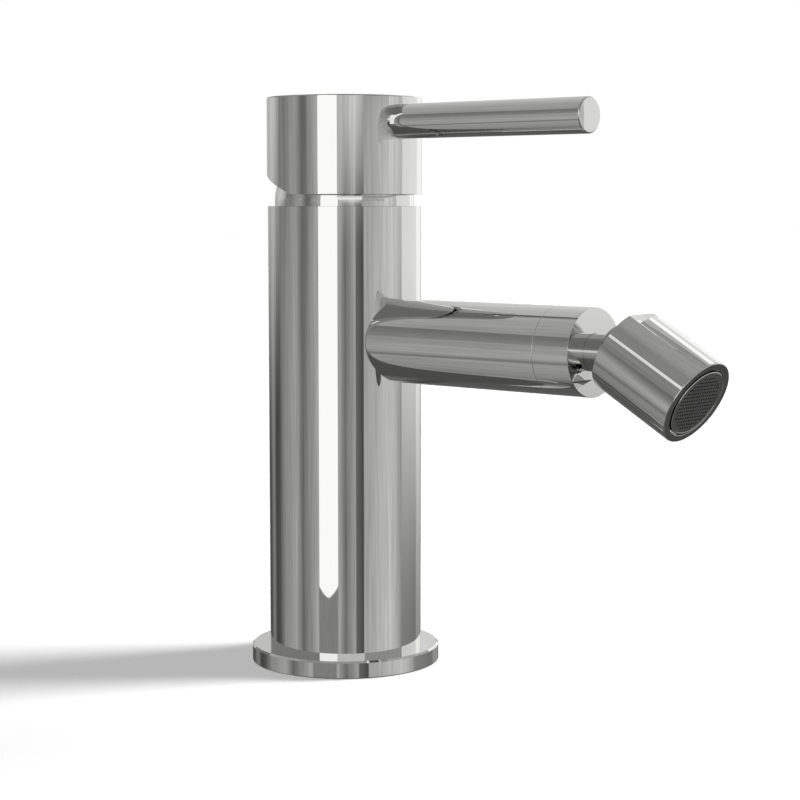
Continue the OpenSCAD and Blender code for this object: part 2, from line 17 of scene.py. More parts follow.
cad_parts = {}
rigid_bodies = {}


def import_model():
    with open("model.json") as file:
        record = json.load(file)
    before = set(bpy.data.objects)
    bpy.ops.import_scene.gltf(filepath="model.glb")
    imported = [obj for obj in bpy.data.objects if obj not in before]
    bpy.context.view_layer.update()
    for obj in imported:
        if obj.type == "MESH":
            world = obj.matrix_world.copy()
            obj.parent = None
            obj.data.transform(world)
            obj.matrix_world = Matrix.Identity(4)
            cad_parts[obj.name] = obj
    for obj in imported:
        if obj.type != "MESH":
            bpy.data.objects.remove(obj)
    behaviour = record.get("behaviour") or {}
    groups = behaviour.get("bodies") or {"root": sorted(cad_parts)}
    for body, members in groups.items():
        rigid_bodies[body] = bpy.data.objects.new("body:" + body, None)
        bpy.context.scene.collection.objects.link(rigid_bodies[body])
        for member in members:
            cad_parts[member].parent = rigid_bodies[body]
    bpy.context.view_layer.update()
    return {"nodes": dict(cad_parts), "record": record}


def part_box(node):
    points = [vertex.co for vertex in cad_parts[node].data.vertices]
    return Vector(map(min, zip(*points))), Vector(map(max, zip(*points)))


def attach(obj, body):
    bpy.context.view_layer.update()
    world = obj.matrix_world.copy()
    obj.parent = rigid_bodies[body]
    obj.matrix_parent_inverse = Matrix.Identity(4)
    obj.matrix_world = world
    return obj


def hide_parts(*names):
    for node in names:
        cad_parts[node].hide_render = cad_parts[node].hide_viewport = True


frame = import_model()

nodes = frame["nodes"]
scene = bpy.context.scene

# %% [markdown]
# ## The camera
#
# The mixer is seen from the front left of its lever and a little above.
# A long lens keeps the column's edges nearly parallel.
# The direction is written as two angles, because these are easier to read than a turned matrix.

# %% Camera
CAMERA_AT = (0.3714, -0.3999, 0.1275)
TURN_TO_OBJECT = math.radians(41.283)
LOOKING_DOWN = math.radians(5.75)

camera = bpy.data.objects.new("camera", bpy.data.cameras.new("camera"))
camera.data.sensor_width = 36
camera.data.lens = 88.96
camera.location = CAMERA_AT
view = Vector((
    -math.sin(TURN_TO_OBJECT) * math.cos(LOOKING_DOWN),
    math.cos(TURN_TO_OBJECT) * math.cos(LOOKING_DOWN),
    -math.sin(LOOKING_DOWN),
))
camera.rotation_euler = view.to_track_quat("-Z", "Y").to_euler()
scene.collection.objects.link(camera)
scene.camera = camera
scene.view_settings.view_transform = "Standard"
print("camera at", tuple(camera.location))

# %% [markdown]
# ## Sizes
#
# A drawing of such a mixer is dimensioned in millimetres, and Blender works in metres,
# so one factor turns one into the other.
# The main sizes are read off the boxes of the construction model's parts, which is safer
# than typing them again. Those that no box shows, such as the ball's centre or a hidden bore,
# are typed here or where they are first needed.

# %% Sizes
MM = 0.001
LOW, HIGH = 0, 1


def end_of(node, axis, side=HIGH):
    """Where a part of the construction model ends along an axis, in millimetres."""
    return round(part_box(node)[side]["xyz".index(axis)] / MM, 2)


BODY_R = end_of("mixer_body", "x")
BODY_FOOT = end_of("base_flange", "z")
BODY_TOP = end_of("mixer_body", "z")
SPOUT_R = (end_of("spout_tube", "z") - end_of("spout_tube", "z", LOW)) / 2
SPOUT_Z = end_of("spout_tube", "z") - SPOUT_R
COLLAR_X = end_of("spout_tube", "x")
SPOUT_END = end_of("spout_collar", "x")
BALL_X = 96.0
NOZZLE_TILT = 29.5
CAP_R = end_of("lever_cap", "x")
CAP_FOOT = end_of("lever_cap", "z", LOW)
CAP_TOP = end_of("lever_cap", "z")
PIVOT_Z = 127.0
LEVER_R = 4.6
LEVER_Z = end_of("lever_rod", "z", LOW) + LEVER_R
LEVER_END = end_of("lever_rod", "x")
SCREW_Z = (end_of("screw_plug", "z") + end_of("screw_plug", "z", LOW)) / 2
print("column", BODY_R, "by", BODY_TOP, "- spout at", SPOUT_Z, "- lever at", LEVER_Z)

# %% [markdown]
# ## Axes
#
# Four of its parts are turned about an axis of their own: the spout, the lever, the nozzle
# and the plug at the back of the cap.
# A matrix for each axis carries a piece from the lathe, where it is made upright, to its place.

# %% Axes
UPRIGHT = Matrix.Identity(4)


def sideways(height, degrees, forward=0.0):
    """Lays an upright axis over towards +X, from a point at that height in millimetres."""
    return Matrix.Translation((forward, 0, height)) @ Matrix.Rotation(math.radians(degrees), 4, "Y")


ALONG_SPOUT = sideways(SPOUT_Z, 90)
ALONG_LEVER = sideways(LEVER_Z, 90)
ALONG_NOZZLE = sideways(SPOUT_Z, 90 + NOZZLE_TILT, forward=BALL_X)
TO_BACK = sideways(SCREW_Z, -90)
SPRAY = ALONG_NOZZLE.to_3x3() @ Vector((0, 0, 1))
print("nozzle points along", tuple(round(c, 3) for c in SPRAY))

# %% [markdown]
# ## The lathe
#
# Nearly every part of a mixer is turned on a lathe, so one helper does that here.
# It lays out half of the section as a line of corners, rounds the corners that a tool or
# the polishing wheel rounds, and spins the line once about the axis.
# A modelled curve would work too, but a section in numbers can be checked against the drawing.

# %% Lathe
STEPS = 180
ROUNDING_STEPS = 4
MERGE = 0.0005


def section(bm, corners, closed):
    """Joins corners given as (radius, height, rounding, steps) and rounds those that ask for it."""
    points = [bm.verts.new((corner[0], 0, corner[1])) for corner in corners]
    pairs = list(zip(points, points[1:]))
    if closed:
        pairs.append((points[-1], points[0]))
    for pair in pairs:
        bm.edges.new(pair)
    for point, corner in zip(points, corners):
        if len(corner) > 2:
            bmesh.ops.bevel(
                bm, geom=[point], offset=corner[2], offset_type="OFFSET", affect="VERTICES",
                segments=corner[3] if len(corner) > 3 else ROUNDING_STEPS, profile=0.5, material=-1)


def spin_whole(bm, steps):
    """Spins everything once about the upright axis and closes it."""
    bmesh.ops.spin(
        bm, geom=bm.verts[:] + bm.edges[:], cent=(0, 0, 0), axis=(0, 0, 1),
        angle=math.tau, steps=steps, use_merge=True)
    bmesh.ops.remove_doubles(bm, verts=bm.verts, dist=MERGE)
    bmesh.ops.recalc_face_normals(bm, faces=bm.faces)


def lathe(corners, closed=True, steps=STEPS):
    """Turns a section in millimetres about its own upright axis."""
    bm = bmesh.new()
    section(bm, corners, closed)
    spin_whole(bm, steps)
    return bm


# %% [markdown]
# ## Pieces
#
# A turned piece then goes to its place in metres and gets its finish.
# Its faces are smooth, and a weighted normal keeps its flat faces flat right up to their
# rounded edges, which a mirror finish needs: without it, reflections bend near each edge.
# Where one piece has a polished and a dull part, a second finish goes on the faces picked.

# %% Piece
SHARP = math.radians(32)


def piece(name, bm, place, body, finish, stands_for=(), flat_first=True):
    """Makes a mesh made in millimetres a part of the mixer."""
    bmesh.ops.transform(bm, matrix=Matrix.Scale(MM, 4) @ place, verts=bm.verts)
    for face in bm.faces:
        face.smooth = True
    mesh = bpy.data.meshes.new(name)
    bm.to_mesh(mesh)
    bm.free()
    mesh.set_sharp_from_angle(angle=SHARP)
    made = bpy.data.objects.new(name, mesh)
    scene.collection.objects.link(made)
    mesh.materials.append(finish)
    if flat_first:
        weighted = made.modifiers.new("weighted", "WEIGHTED_NORMAL")
        weighted.mode = "FACE_AREA"
        weighted.weight = 80
        weighted.keep_sharp = True
    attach(made, body)
    if stands_for:
        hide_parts(*stands_for)
    print(name, len(mesh.polygons), "faces")
    return made


def second_finish(made, finish, picked):
    """Gives the faces for which picked(face) is true another finish."""
    made.data.materials.append(finish)
    faces = [face for face in made.data.polygons if picked(face)]
    for face in faces:
        face.material_index = 1
    print(made.name, len(faces), "faces in", finish.name)


# %% [markdown]
# ## Cutting
#
# Holes and flats that lie off the axis are cut after turning, as on a milling machine.
# Each tool is a closed mesh of its own, taken out with an exact boolean.
# The cut leaves faces with very many sides, which are split into well shaped triangles,
# because thin ones would show as stripes in a mirror finish.

# %% Cutting tools
OVERCUT = 1.0


def subtract(bm, cutters):
    """Takes cutters, meshes of their own, out of a closed mesh."""
    whole = bpy.data.meshes.new("whole")
    bm.to_mesh(whole)
    carrier = bpy.data.objects.new("whole", whole)
    scene.collection.objects.link(carrier)
    for cutter in cutters:
        tool_mesh = bpy.data.meshes.new("tool")
        cutter.to_mesh(tool_mesh)
        cutter.free()
        tool = bpy.data.objects.new("tool", tool_mesh)
        scene.collection.objects.link(tool)
        step = carrier.modifiers.new("cut", "BOOLEAN")
        step.operation = "DIFFERENCE"
        step.solver = "EXACT"
        step.object = tool
        seen = carrier.evaluated_get(bpy.context.evaluated_depsgraph_get())
        bm.clear()
        bm.from_mesh(seen.to_mesh())
        carrier.modifiers.remove(step)
        bm.to_mesh(whole)
        bpy.data.objects.remove(tool)
        bpy.data.meshes.remove(tool_mesh)
    bpy.data.objects.remove(carrier)
    bpy.data.meshes.remove(whole)
    bmesh.ops.remove_doubles(bm, verts=bm.verts, dist=MERGE)
    many_sided = [face for face in bm.faces if len(face.verts) > 4]
    bmesh.ops.triangulate(bm, faces=many_sided, ngon_method="BEAUTY")
    return bm


def block(size, place):
    """A box of that size in millimetres, as a tool for subtract."""
    bm = bmesh.new()
    bmesh.ops.create_cube(bm, size=1)
    bmesh.ops.scale(bm, vec=size, verts=bm.verts)
    bmesh.ops.transform(bm, matrix=place, verts=bm.verts)
    return bm


def drill(radius, low, high, place=UPRIGHT, steps=48):
    """A round bar in millimetres, as a tool for subtract."""
    bm = lathe([(0, low), (radius, low), (radius, high), (0, high)], closed=False, steps=steps)
    bmesh.ops.transform(bm, matrix=place, verts=bm.verts)
    return bm


# %% [markdown]
# ## Finishes
#
# Each finish starts from one shader and reads the piece's own coordinates,
# so its grain keeps its size on every piece and stays put when the joints move.
# Every finish is built alike: large patches shift its colour a little, small spots its
# roughness, and most have a relief too shallow to model.

# %% Finish helpers


def shader(name, values):
    """A new material with one principled shader, its even values set on its own sockets."""
    material = bpy.data.materials.new(name)
    material.use_nodes = True
    surface = material.node_tree.nodes["Principled BSDF"]
    for socket, value in values.items():
        surface.inputs[socket].default_value = value
    return material, surface


def grain(material, size, low, high, stretch=(1, 1, 1), detail=3.0):
    """Noise of about that size in metres, as a value from low to high."""
    tree = material.node_tree
    place = tree.nodes.new("ShaderNodeTexCoord")
    turned = tree.nodes.new("ShaderNodeMapping")
    turned.inputs["Scale"].default_value = stretch
    noise = tree.nodes.new("ShaderNodeTexNoise")
    noise.inputs["Scale"].default_value = 1 / size
    noise.inputs["Detail"].default_value = detail
    spread = tree.nodes.new("ShaderNodeMapRange")
    spread.inputs["To Min"].default_value = low
    spread.inputs["To Max"].default_value = high
    tree.links.new(place.outputs["Object"], turned.inputs["Vector"])
    tree.links.new(turned.outputs["Vector"], noise.inputs["Vector"])
    tree.links.new(noise.outputs["Fac"], spread.inputs["Value"])
    return spread.outputs["Result"]


def tint(material, surface, factor, one, other):
    """Colours the surface between two colours."""
    tree = material.node_tree
    mix = tree.nodes.new("ShaderNodeMix")
    mix.data_type = "RGBA"
    mix.inputs["A"].default_value = (*one, 1)
    mix.inputs["B"].default_value = (*other, 1)
    tree.links.new(factor, mix.inputs["Factor"])
    tree.links.new(mix.outputs["Result"], surface.inputs["Base Color"])


def relief(material, surface, height, depth):
    """Raises the surface by a height of 0 to 1 times a depth in metres."""
    tree = material.node_tree
    bump = tree.nodes.new("ShaderNodeBump")
    bump.inputs["Distance"].default_value = depth
    tree.links.new(height, bump.inputs["Height"])
    tree.links.new(bump.outputs["Normal"], surface.inputs["Normal"])


def make_finish(name, values, patch, colours, spot, roughness, bump=None, depth=0.0, **grain_options):
    """A finish from its patches of colour, its spots of roughness and its relief, sizes in metres."""
    material, surface = shader(name, values)
    tint(material, surface, grain(material, patch, 0, 1), *colours)
    material.node_tree.links.new(grain(material, spot, *roughness), surface.inputs["Roughness"])
    if bump:
        relief(material, surface, grain(material, bump, 0, 1, **grain_options), depth)
    return material


# %% [markdown]
# ### Chrome
#
# Chrome over polished brass is a neutral grey mirror.
# It isn't perfect: the plating has a very fine haze, and the polishing wheel leaves faint waves.
# The ball in the nozzle is plated too and satin, and its colour is set darker than the chrome's as painted
# shade for the nozzle's shade around it, which shows as an even dark grey in the end face's mirror.

# %% Chrome
chrome = make_finish(
    "polished_chrome", {"Metallic": 1.0},
    patch=0.02, colours=((0.805, 0.805, 0.785), (0.835, 0.835, 0.815)),
    spot=0.0006, roughness=(0.004, 0.02), bump=0.006, depth=0.0000004, detail=1.0)
# Painted shade: the satin finish's colour is darker than the chrome's, for the shade around the ball in the
# nozzle.
satin_chrome_painted_shade = make_finish(
    "satin_chrome_painted_shade", {"Metallic": 0.7},
    patch=0.01, colours=((0.46, 0.46, 0.45), (0.52, 0.52, 0.51)), spot=0.0004, roughness=(0.2, 0.28))
print(chrome.name, satin_chrome_painted_shade.name)

# %% [markdown]
# ### Brass and steel
#
# The nuts and the spout's nipple inside are turned brass. The spindle, its pin, the screw
# and the aerator's mesh are steel.
# Both metals keep the fine rings of the lathe tool, so their relief is stretched sideways.

# %% Brass and steel
LATHE_RINGS = (0.2, 0.2, 3)
brass = make_finish(
    "turned_brass", {"Metallic": 1.0},
    patch=0.004, colours=((0.70, 0.50, 0.24), (0.78, 0.58, 0.31)),
    spot=0.0004, roughness=(0.22, 0.36), bump=0.0008, depth=0.00001, stretch=LATHE_RINGS)
steel = make_finish(
    "ground_steel", {"Metallic": 1.0},
    patch=0.003, colours=((0.50, 0.50, 0.50), (0.60, 0.60, 0.59)),
    spot=0.0005, roughness=(0.25, 0.4), bump=0.0006, depth=0.00001, stretch=LATHE_RINGS)
print(brass.name, steel.name)

# %% [markdown]
# ### Rubber, plastics and ceramic
#
# The seals are black rubber. The cartridge's moulded parts, the ball's seats and the rings
# inside the aerator are white plastic, its grille is dark grey, and the two discs of the
# valve are ground ceramic.
# Rubber and plastics keep the soft texture of their mould, and the ceramic a thin film of grease.
# The walls of the aerator's holes have a dark finish of their own, which is painted shade for the shade
# deep in the narrow holes.

# %% Rubber, plastics and ceramic
rubber = make_finish(
    "black_rubber", {"Specular IOR Level": 0.35},
    patch=0.003, colours=((0.012, 0.012, 0.013), (0.028, 0.028, 0.03)),
    spot=0.0008, roughness=(0.55, 0.8), bump=0.0003, depth=0.00002)
white_plastic = make_finish(
    "white_plastic", {},
    patch=0.01, colours=((0.74, 0.73, 0.70), (0.80, 0.79, 0.76)),
    spot=0.0005, roughness=(0.3, 0.45), bump=0.0004, depth=0.00001)
grey_plastic = make_finish(
    "dark_grey_plastic", {},
    patch=0.002, colours=((0.029, 0.029, 0.028), (0.042, 0.042, 0.041)),
    spot=0.0004, roughness=(0.35, 0.5), bump=0.0003, depth=0.00001)
# Painted shade: a dark colour for the walls of the aerator's holes, where shade falls.
hole_shade = make_finish(
    "painted_shade_hole_wall", {"Specular IOR Level": 0.2},
    patch=0.002, colours=((0.013, 0.013, 0.013), (0.020, 0.020, 0.019)),
    spot=0.0004, roughness=(0.6, 0.8))
ceramic = make_finish(
    "ground_ceramic", {"Coat Weight": 0.3, "Coat Roughness": 0.1},
    patch=0.002, colours=((0.78, 0.76, 0.71), (0.86, 0.84, 0.80)),
    spot=0.0004, roughness=(0.12, 0.25))
finishes = {
    "chrome": chrome, "brass": brass, "steel": steel, "rubber": rubber,
    "white_plastic": white_plastic, "grey_plastic": grey_plastic, "ceramic": ceramic,
}
print("finishes:", ", ".join(finishes))

# %% [markdown]
# The construction model's own parts that stay get the finish of their material.
# Their shapes are exact and mostly hidden, so a new mesh would add nothing.

# %% Finish the parts that stay
slot_of = {sub["node"]: sub["material_slot"] for sub in frame["record"]["subparts"]}
for name, node in nodes.items():
    for place in node.material_slots:
        place.material = finishes[slot_of[name]]
print({slot: list(slot_of.values()).count(slot) for slot in finishes})

# %% [markdown]
# ## The flange
#
# The flange is a turned plate that spreads the column's weight over the ceramic.
# Its top is a flat mirror that the column stands on, and its rim has a small flat bevel.
# Underneath it has a groove for its seal. It could be cut from a cylinder with booleans,
# but one section spun on the lathe gives cleaner edges.

# %% Flange
FLANGE_R = end_of("base_flange", "x")
RIM_BEVEL = 0.5
HOLLOW_R = 17.5
UNDERSIDE_RING_R = 18.95
SOCKET_R = 19.05
SOCKET_FLOOR = 2.0
GROOVE_R = (20.2, 22.8)
GROOVE_TOP = 1.25
piece("flange", lathe([
    (HOLLOW_R, 0, 0.2), (UNDERSIDE_RING_R, 0, 0.1), (UNDERSIDE_RING_R, 0), (GROOVE_R[0], 0, 0.1),
    (GROOVE_R[0], GROOVE_TOP), (GROOVE_R[1], GROOVE_TOP), (GROOVE_R[1], 0, 0.1), (FLANGE_R, 0, 0.3),
    (FLANGE_R, BODY_FOOT - RIM_BEVEL), (FLANGE_R - RIM_BEVEL, BODY_FOOT),
    (SOCKET_R, BODY_FOOT), (SOCKET_R, SOCKET_FLOOR), (HOLLOW_R, SOCKET_FLOOR, 0.1),
]), UPRIGHT, "body", chrome, ["base_flange"])

# %% [markdown]
# ### The flange's seal
#
# A flat rubber ring lies in the groove and touches the ceramic with two thin lips.
# The lips are two small peaks in its section, a little lower than the ring's own face.

# %% Flange seal
SEAL_R = (20.25, 22.75)
SEAL_FOOT = 0.15
SEAL_TOP = 1.2
LIP_HALF = 0.2
corners = [(SEAL_R[0], SEAL_FOOT, 0.1)]
for lip in (21.1, 21.95):
    corners += [(lip - LIP_HALF, SEAL_FOOT), (lip, 0.0, 0.05), (lip + LIP_HALF, SEAL_FOOT)]
corners += [(SEAL_R[1], SEAL_FOOT, 0.1), (SEAL_R[1], SEAL_TOP, 0.1), (SEAL_R[0], SEAL_TOP, 0.1)]
piece("flange_seal", lathe(corners), UPRIGHT, "body", rubber, ["base_gasket"])

# %% [markdown]
# ## The column
#
# The column is a casting turned to a plain cylinder and plated.
# Its foot is hollow for the hoses, a solid block above holds their threaded sockets,
# and the top is bored for the cartridge.
# The section is spun in one go, and the sockets and water ways are drilled into it afterwards,
# because they lie off the axis. Two extra rings keep the shading even around the spout's root.

# %% Column
SPIGOT_R = 19.0
SPIGOT_FOOT = end_of("mixer_body", "z", LOW)
CAVITY_TOP = 52.0
SEAT_Z = 101.0
SEAT_R = 17.45
THREAD_R = 18.65
THREAD_FOOT = 121.8
RING_OFF = 8
column = lathe([
    (0, CAVITY_TOP), (HOLLOW_R, CAVITY_TOP, 0.6), (HOLLOW_R, SPIGOT_FOOT, 0.2),
    (SPIGOT_R, SPIGOT_FOOT, 0.2), (SPIGOT_R, BODY_FOOT), (BODY_R, BODY_FOOT),
    (BODY_R, SPOUT_Z - RING_OFF), (BODY_R, SPOUT_Z + RING_OFF), (BODY_R, BODY_TOP, 0.04, 2),
    (THREAD_R, BODY_TOP, 0.3), (THREAD_R, THREAD_FOOT),
    (SEAT_R, THREAD_FOOT, 0.1), (SEAT_R, SEAT_Z), (0, SEAT_Z),
], closed=False)
print("column", len(column.faces), "faces before drilling")

# %% [markdown]
# ### Its holes
#
# Two sockets take the hot and the cold hose, a third hole the stud that holds the mixer down.
# From each socket a narrow way leads up to the cartridge, and from there one more leads
# down and out into the spout. The spout's nipple sits in a wider, shallow hole.

# %% Column's holes
WAY_R = 3.2
HOSE_R = 4.5
HOSE_DEPTH = 12
HOSE_X, HOSE_Y = 5.5, 8.5
STUD_R = 3.4
STUD_DEPTH = 20
STUD_X = -7
NIPPLE_R = 7.0
NIPPLE_X = 11
HOSES = [Matrix.Translation((HOSE_X, y, 0)) for y in (-HOSE_Y, HOSE_Y)]
STUD = Matrix.Translation((STUD_X, 0, 0))
below = CAVITY_TOP - OVERCUT
tools = [drill(WAY_R, SPOUT_Z, SEAT_Z + OVERCUT), drill(STUD_R, below, CAVITY_TOP + STUD_DEPTH, STUD)]
for place in HOSES:
    tools.append(drill(HOSE_R, below, CAVITY_TOP + HOSE_DEPTH, place))
    tools.append(drill(WAY_R, CAVITY_TOP + HOSE_DEPTH - OVERCUT, SEAT_Z + OVERCUT, place))
tools.append(drill(NIPPLE_R, NIPPLE_X, BODY_R + OVERCUT, ALONG_SPOUT))
tools.append(drill(WAY_R, -WAY_R, NIPPLE_X + OVERCUT, ALONG_SPOUT))
subtract(column, tools)
piece("column", column, UPRIGHT, "body", chrome, ["mixer_body"])

# %% [markdown]
# ### Threads
#
# The hose sockets and the stud's hole are tapped.
# A real thread is a helical groove; here a ridge of three-sided section is spun around the hole
# with a rise per turn, which gives the same look from below and leaves the bore itself simple.

# %% Threads
PITCH = 1.0
STEPS_PER_TURN = 36
RIDGE_WIDTH = 0.8
RIDGE_DEPTH = 0.45
IN_WALL = 0.05
FIRST_RIDGE = CAVITY_TOP + 0.6


def thread(radius, turns):
    """A helical ridge on the wall of a hole, made upright in millimetres."""
    bm = bmesh.new()
    corners = [bm.verts.new(place) for place in (
        (radius + IN_WALL, 0, FIRST_RIDGE), (radius + IN_WALL, 0, FIRST_RIDGE + RIDGE_WIDTH),
        (radius - RIDGE_DEPTH, 0, FIRST_RIDGE + RIDGE_WIDTH / 2))]
    start = bm.faces.new(corners)
    bmesh.ops.spin(
        bm, geom=[start, *start.edges, *start.verts], cent=(0, 0, 0), axis=(0, 0, 1),
        dvec=(0, 0, PITCH / STEPS_PER_TURN), angle=math.tau * turns, steps=STEPS_PER_TURN * turns,
        use_duplicate=False)
    bmesh.ops.holes_fill(bm, edges=[edge for edge in bm.edges if edge.is_boundary], sides=3)
    bmesh.ops.recalc_face_normals(bm, faces=bm.faces)
    return bm


for side, place in zip(("hot", "cold"), HOSES):
    piece("thread_" + side, thread(HOSE_R, 10), place, "body", chrome)
piece("thread_stud", thread(STUD_R, 16), STUD, "body", chrome)

# %% [markdown]
# ## The spout
#
# The spout is a straight tube, held square to the column by a threaded nipple inside.
# Its root is cut to the column's curve: a coped joint.
# The tube is turned with a flat root, and then each point of the root is slid along the axis
# until it lies on the column, which is what the cutter does to the real tube.

# %% Spout tube
ROOT = 15.0
ROOT_GAP = 0.02
SPOUT_BORE_R = 9.3
SPOUT_BORE_X = 27.0
tube = lathe([
    (NIPPLE_R, ROOT), (SPOUT_R, ROOT), (SPOUT_R, COLLAR_X, 0.1, 3), (SPOUT_BORE_R, COLLAR_X),
    (SPOUT_BORE_R, SPOUT_BORE_X), (NIPPLE_R, SPOUT_BORE_X),
])
for point in tube.verts:
    if point.co.z < ROOT + MERGE:
        point.co.z = math.sqrt((BODY_R + ROOT_GAP) ** 2 - point.co.y ** 2)
piece("spout", tube, ALONG_SPOUT, "body", chrome, ["spout_tube"])

# %% [markdown]
# ### Its collar
#
# The spout's last stretch is a separate collar that holds the stem, behind a hairline seam.
# Its spigot carries a sealing ring in a groove. The edges at the seam are rounded a little
# more than the end's, which makes the seam a fine dark line.

# %% Spout collar
COLLAR_SPIGOT_R = 9.25
COLLAR_SPIGOT_X = end_of("spout_collar", "x", LOW)
STEM_HOLE_R = 4.8
STEM_HOLE_X = 76.0
COLLAR_BORE_R = 5.5
RING_R = 8.15
RING_X = (68.95, 70.05)
piece("collar", lathe([
    (COLLAR_SPIGOT_R, COLLAR_X), (SPOUT_R, COLLAR_X, 0.1, 3), (SPOUT_R, SPOUT_END, 0.06, 3),
    (STEM_HOLE_R, SPOUT_END, 0.05, 2), (STEM_HOLE_R, STEM_HOLE_X), (COLLAR_BORE_R, STEM_HOLE_X),
    (COLLAR_BORE_R, COLLAR_SPIGOT_X), (COLLAR_SPIGOT_R, COLLAR_SPIGOT_X, 0.3),
    (COLLAR_SPIGOT_R, RING_X[0]), (RING_R, RING_X[0]), (RING_R, RING_X[1]), (COLLAR_SPIGOT_R, RING_X[1]),
]), ALONG_SPOUT, "body", chrome, ["spout_collar"])

# %% [markdown]
# ## The stem and its ball
#
# The nozzle swivels on a ball at the end of a round stem.
# The ball's outline is an arc of a circle: one point is spun about the ball's centre, and the
# rest of the section is joined to it before the whole is spun about the stem.
# The stem is polished, and the ball has the satin finish with its darker colour of painted shade.

# %% Stem and ball
BALL_R = 8.2
BALL_FLAT = 7.4
BALL_MOUTH_R = 2.95
BALL_MOUTH_X = 94.4
STEM_R = 4.75
STEM_X = end_of("ball_stud", "x", LOW)
STEM_CHAMFER_R = 4.5
STEM_WAY_R = 2.2
STEM_GROOVE_R = 3.7
STEM_GROOVE_X = (79.7, 80.8)


def ball_stud():
    """The stem with its ring's groove, its water way, and the ball with its flat mouth."""
    bm = bmesh.new()
    neck = math.asin(STEM_R / BALL_R)
    mouth = math.acos(BALL_FLAT / BALL_R)
    first = bm.verts.new((STEM_R, 0, BALL_X - BALL_R * math.cos(neck)))
    bmesh.ops.spin(
        bm, geom=[first], cent=(0, 0, BALL_X), axis=(0, 1, 0),
        angle=-(math.pi - neck - mouth), steps=40)
    bm.verts.ensure_lookup_table()
    ends = [bm.verts[0], bm.verts[-1]]
    line = [ends[0]] + [bm.verts.new((radius, 0, height)) for radius, height in (
        (STEM_R, STEM_GROOVE_X[1]), (STEM_GROOVE_R, STEM_GROOVE_X[1]),
        (STEM_GROOVE_R, STEM_GROOVE_X[0]), (STEM_R, STEM_GROOVE_X[0]),
        (STEM_R, STEM_X + 0.2), (STEM_CHAMFER_R, STEM_X), (STEM_WAY_R, STEM_X), (STEM_WAY_R, BALL_MOUTH_X),
        (BALL_MOUTH_R, BALL_MOUTH_X), (BALL_MOUTH_R, BALL_X + BALL_FLAT))] + [ends[1]]
    for pair in zip(line, line[1:]):
        bm.edges.new(pair)
    spin_whole(bm, 120)
    return bm


def on_ball(face):
    """True for a face of the ball's round."""
    reach = (face.center - Vector((BALL_X, 0, SPOUT_Z)) * MM).length
    return abs(reach - BALL_R * MM) < 0.1 * MM


stem = piece("stem_and_ball", ball_stud(), ALONG_SPOUT, "body", chrome, ["ball_stud"])
second_finish(stem, satin_chrome_painted_shade, on_ball)

# %% [markdown]
# ## The nozzle
#
# The nozzle is a short thick-walled barrel.
# At its back an opening with a round lip holds the ball, and two flats take a spanner.
# The flats are milled away with a box tool after the barrel is turned, as on the real one,
# because a flat in a spun section would run all the way round.

# %% Nozzle barrel
BACK = -2.8
MOUTH = 21.5
LIP_FRONT = -1.6
BALL_GAP = 0.15
BARREL_BORE_R = 9.35
FLAT_DEPTH = 1.3
FLAT_LENGTH = 3.6
FLAT_TOOL = (10, 30, 8)


def opening_at(height):
    """Radius of the round opening for the ball, at a height from the ball's centre."""
    return math.sqrt((BALL_R + BALL_GAP) ** 2 - height ** 2)


barrel = lathe([
    (opening_at(BACK), BACK, 0.1, 2), (SPOUT_R, BACK, 0.3), (SPOUT_R, MOUTH, 0.3),
    (BARREL_BORE_R, MOUTH, 0.15), (BARREL_BORE_R, LIP_FRONT), (opening_at(LIP_FRONT), LIP_FRONT),
])
tool_x = SPOUT_R - FLAT_DEPTH + FLAT_TOOL[0] / 2
tool_z = BACK + FLAT_LENGTH - FLAT_TOOL[2] / 2
subtract(barrel, [block(FLAT_TOOL, Matrix.Translation((x, 0, tool_z))) for x in (-tool_x, tool_x)])
piece("nozzle", barrel, ALONG_NOZZLE, "nozzle", chrome, ["nozzle_housing"])

# %% [markdown]
# ### The aerator
#
# The aerator mixes air into the water. It is screwed into the barrel's mouth, and what shows
# of it is a thin bright lip behind a narrow groove.
# It is turned as a ring of its own, so the groove is a true gap and gets its dark line by itself.

# %% Aerator
AERATOR_R = 9.3
AERATOR_FOOT = 9.1
AERATOR_FLOOR = 10.6
JETS_R = 7.15
GROOVE_FLOOR = 19.0
LIP_R = (8.35, 8.9)
LIP_END = 21.75
piece("aerator", lathe([
    (JETS_R, AERATOR_FOOT), (AERATOR_R, AERATOR_FOOT), (AERATOR_R, GROOVE_FLOOR), (LIP_R[1], GROOVE_FLOOR),
    (LIP_R[1], LIP_END, 0.2), (LIP_R[0], LIP_END, 0.12), (LIP_R[0], AERATOR_FLOOR), (JETS_R, AERATOR_FLOOR),
], steps=120), ALONG_NOZZLE, "nozzle", chrome, ["aerator_housing"])

# %% [markdown]
# ### The grille
#
# The aerator ends in a moulded plate with fine square holes, just inside the lip.
# One tool with a small block for each hole cuts them all at once, as the mould's pins do.
# The walls of the holes get the dark finish of painted shade: faces that look across the spray, inside the
# rim.

# %% Aerator grille
PLATE_R = 8.3
PLATE_Z = (20.8, 21.65)
HOLE_PITCH = 1.0
HOLE = 0.5
ROWS = 19
HOLES_WITHIN = 7.5
RIM = 0.3
plate = lathe(
    [(0, PLATE_Z[0]), (PLATE_R, PLATE_Z[0]), (PLATE_R, PLATE_Z[1], 0.05), (0, PLATE_Z[1])],
    closed=False, steps=96)
pins = bmesh.new()
bmesh.ops.create_grid(pins, x_segments=ROWS, y_segments=ROWS, size=ROWS * HOLE_PITCH / 2)
centres = [face.calc_center_median() for face in pins.faces]
pins.clear()
for centre in centres:
    if centre.length < HOLES_WITHIN:
        made = bmesh.ops.create_cube(pins, size=HOLE)["verts"]
        bmesh.ops.scale(pins, vec=(1, 1, 4), verts=made)
        bmesh.ops.translate(pins, vec=(centre.x, centre.y, sum(PLATE_Z) / 2), verts=made)
